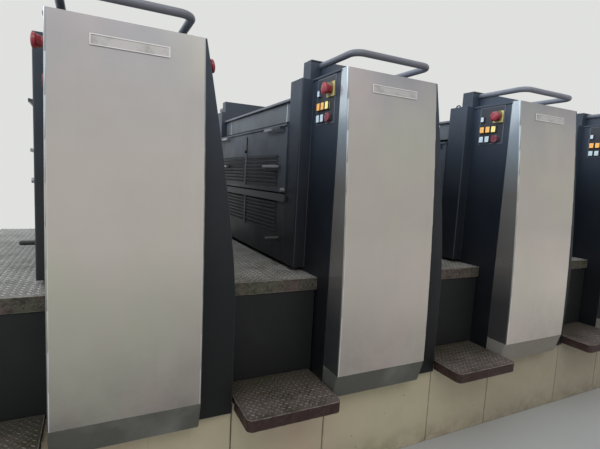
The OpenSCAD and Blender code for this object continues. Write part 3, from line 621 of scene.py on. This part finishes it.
def tread(name, node, planes, paint):
    """Lays bars on the faces of a node that lie in the given planes.

    A plane is (outward normal, direction of the rows, distance from the origin)."""
    mesh = NODES[node].data
    tree = BVHTree.FromPolygons([v.co for v in mesh.vertices],
                                [tuple(p.vertices) for p in mesh.polygons])
    lo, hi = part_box(node)
    corners = [Vector((x, y, z)) for x in (lo.x, hi.x) for y in (lo.y, hi.y)
               for z in (lo.z, hi.z)]
    verts, faces = [], []
    for normal, along, level in planes:
        normal, along = Vector(normal), Vector(along)
        across = normal.cross(along)
        u0, u1 = (f(c.dot(along) for c in corners) for f in (min, max))
        v0, v1 = (f(c.dot(across) for c in corners) for f in (min, max))
        for row in range(int((v1 - v0) / ROW_STEP) + 1):
            lean = math.radians(BAR_LEAN if row % 2 else -BAR_LEAN)
            du = along * math.cos(lean) + across * math.sin(lean)
            dv = normal.cross(du)
            for k in range(int((u1 - u0) / BAR_STEP) + 1):
                u = u0 + (k + 0.25 + 0.5 * (row % 2)) * BAR_STEP
                mid = along * u + across * (v0 + (row + 0.5) * ROW_STEP) + normal * level
                tips = [mid + du * (s * BAR_L * TIP_REACH) for s in (-1, 1)]
                hits = [tree.ray_cast(q + normal * PROBE_FROM, -normal, PROBE_LENGTH)[0]
                        for q in (mid, *tips)]
                if any(h is None or abs(h.dot(normal) - level) > LEVEL_SLACK for h in hits):
                    continue
                base = len(verts)
                for a, b in BAR_FOOT:
                    verts.append(mid + du * (a * BAR_L) + dv * (b * BAR_W) - normal * BAR_SINK)
                for a in (-BAR_RIDGE, BAR_RIDGE):
                    verts.append(mid + du * (a * BAR_L) + normal * BAR_H)
                faces += [tuple(base + f for f in face) for face in BAR_FACES]
    new_piece(name, verts, faces, paint)


platform_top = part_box("platforms")[1].z
step_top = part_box("lower_steps")[1].z
platform_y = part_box("platforms")[1].y
X, Y, Z, FRONT = (1, 0, 0), (0, 1, 0), (0, 0, 1), (0, -1, 0)
tread("tread_of_platforms", "platforms",
      [(Z, X, platform_top), (FRONT, X, platform_y), (Y, X, platform_y)],
      "platform_bars")
tread("tread_of_steps", "lower_steps", [(Z, X, step_top)], "step_bars")


def solids(node):
    """Lowest and highest corner of each separate solid of a node.

    Corners at one place and the two ends of an edge belong to the same solid."""
    mesh = NODES[node].data
    group = {v.index: v.index for v in mesh.vertices}

    def root(k):
        while group[k] != k:
            k = group[k]
        return k

    seen = {}
    for v in mesh.vertices:
        group[root(v.index)] = root(seen.setdefault(tuple(round(c, 5) for c in v.co), v.index))
    for e in mesh.edges:
        group[root(e.vertices[0])] = root(e.vertices[1])
    found = {}
    for v in mesh.vertices:
        found.setdefault(root(v.index), []).append(v.co)
    return [(Vector(map(min, zip(*co))), Vector(map(max, zip(*co)))) for co in found.values()]


BEZEL_FRONT, BEZEL_BACK = 0.0006, 0.0085     # behind a button's face
BEZEL_INNER, BEZEL_OUTER = 0.0003, 0.0016    # out from a button's sides


def bezels(name, nodes, paint):
    """Frames round push buttons that face -X. The buttons' faces stay open."""
    verts, faces = [], []
    for node in nodes:
        for lo, hi in solids(node):
            base = len(verts)
            for x in (lo.x + BEZEL_FRONT, lo.x + BEZEL_BACK):
                for g in (BEZEL_INNER, BEZEL_OUTER):
                    verts += [(x, lo.y - g, lo.z - g), (x, hi.y + g, lo.z - g),
                              (x, hi.y + g, hi.z + g), (x, lo.y - g, hi.z + g)]
            for k in range(4):
                a, b = k, (k + 1) % 4
                faces += [tuple(base + q for q in quad) for quad in (
                    (4 + a, 4 + b, b, a), (8 + a, 8 + b, 12 + b, 12 + a),
                    (4 + b, 4 + a, 12 + a, 12 + b), (a, b, 8 + b, 8 + a))]
    new_piece(name, verts, faces, paint)


bezels("button_bezels", ("amber_buttons", "yellow_buttons", "white_buttons"), "black")


# Stage: floor, sky and lamps

FLOOR_HALF, FLOOR_CODE, BACKDROP = 12, "96948F", "E0E1DF"
FLOOR_FADE = (3.2, 9.0)     # it starts to fade this far from the row's middle, and is gone there


def floor():
    """Pale floor that fades into the backdrop with the distance from the row."""
    half = FLOOR_HALF
    mesh = bpy.data.meshes.new("floor")
    mesh.from_pydata([(-half, -half, 0), (half, -half, 0), (half, half, 0), (-half, half, 0)],
                     [], [(0, 1, 2, 3)])
    obj = bpy.data.objects.new("floor", mesh)
    bpy.context.scene.collection.objects.link(obj)
    p = new_paint("floor", spec=0.2)
    far = p.add("ShaderNodeVectorMath", {0: p.pos}, operation="LENGTH").outputs[1]
    p.put(p.bsdf.inputs["Alpha"], p.ramp(far, *FLOOR_FADE, 1.0, 0.0))
    mesh.materials.append(p.finish(mottled(p, srgb(FLOOR_CODE), 0.8, 0.02), 0.7))


# Linear colours of the studio's light: past the row's ends, and opposite its operator side
HIGH_RIGHT, HIGH_LEFT = (0.72, 0.82, 0.96, 1), (2.15, 2.42, 2.70, 1)
LOW = (0.045, 0.045, 0.05, 1)
GROUND_LEFT, GROUND_RIGHT = (0.12, 0.12, 0.11, 1), (0.98, 0.90, 0.82, 1)
WALL_LEFT, WALL_RIGHT = (0.74, 0.71, 0.67, 1), (0.565, 0.525, 0.49, 1)


def studio():
    """Soft light by direction: cool and bright high up towards -X, dimmer towards +X, and a
    warmer wall in front. Camera, glossy and transmission rays see the plain backdrop."""
    world = bpy.data.worlds.new("studio")
    bpy.context.scene.world = world
    world.use_nodes = True
    w = Graph(world.node_tree)
    toward = w.add("ShaderNodeTexCoord").outputs["Generated"]
    x, y, z = w.add("ShaderNodeSeparateXYZ", {0: toward}).outputs
    high = w.mix(w.ramp(x, 0.4, -0.6), HIGH_RIGHT, HIGH_LEFT)
    ends = w.mix(w.ramp(z, -0.05, 0.20), LOW, high)
    right = w.ramp(x, 0.1, 0.7)
    ground = w.mix(right, GROUND_LEFT, GROUND_RIGHT)
    wall = w.mix(right, WALL_LEFT, WALL_RIGHT)
    front = w.mix(w.ramp(z, -0.35, 0.05), ground, wall)
    ahead = w.mul(w.ramp(y, -0.2, -0.7), w.ramp(x, -0.75, -0.35))
    light = w.mix(ahead, ends, front)
    rays = w.add("ShaderNodeLightPath").outputs
    seen = rays["Is Camera Ray"]
    for kind in ("Is Glossy Ray", "Is Transmission Ray"):
        seen = w.calc("MAXIMUM", seen, rays[kind])
    sky = w.tree.nodes["Background"]
    w.put(sky.inputs["Color"], w.mix(seen, light, srgb(BACKDROP)))
    sky.inputs["Strength"].default_value = 1.0


def area_lamp(name, place, target, size, watts, color):
    data = bpy.data.lights.new(name, "AREA")
    data.shape = "RECTANGLE"
    data.size, data.size_y = size
    data.energy = watts
    data.color = color
    obj = bpy.data.objects.new(name, data)
    obj.location = place
    aim = Vector(target) - Vector(place)
    obj.rotation_euler = aim.to_track_quat("-Z", "Y").to_euler()
    bpy.context.scene.collection.objects.link(obj)


floor()
studio()
area_lamp("window", (-7.0, 1.0, 5.6), (0, 0, 1.6), (5.0, 3.0), 120, (0.86, 0.94, 1.0))
area_lamp("ceiling", (-0.5, -4.6, 5.4), (0, 0, 1.2), (6.0, 2.5), 90, (1.0, 0.96, 0.92))


EYE = (0.1591, -1.7847, 1.089)        # from unit 1's left front corner on the plinth
AIM = (26.4986, 6.3851, 3.0857)       # degrees to the right, down, and leaning
LENS, SENSOR = 25.0039, 36


def photo_camera():
    """Camera fitted to the photograph's perspective."""
    yaw, pitch, roll = (math.radians(a) for a in AIM)
    ahead = Vector((math.sin(yaw) * math.cos(pitch), math.cos(yaw) * math.cos(pitch),
                    -math.sin(pitch)))
    side = Vector((math.cos(yaw), -math.sin(yaw), 0))
    top = side.cross(ahead)
    right = side * math.cos(roll) + top * math.sin(roll)
    above = top * math.cos(roll) - side * math.sin(roll)
    data = bpy.data.cameras.new("camera")
    data.sensor_width = SENSOR
    data.lens = LENS
    data.clip_start, data.clip_end = 0.05, 200
    obj = bpy.data.objects.new("camera", data)
    turn = Matrix((right, above, -ahead)).transposed().to_4x4()
    place = Vector((UNIT_X + EYE[0], FRONT_Y + EYE[1], PLINTH_TOP + EYE[2]))
    obj.matrix_world = Matrix.Translation(place) @ turn
    bpy.context.scene.collection.objects.link(obj)
    bpy.context.scene.camera = obj


photo_camera()
bpy.context.scene.view_settings.view_transform = "Standard"
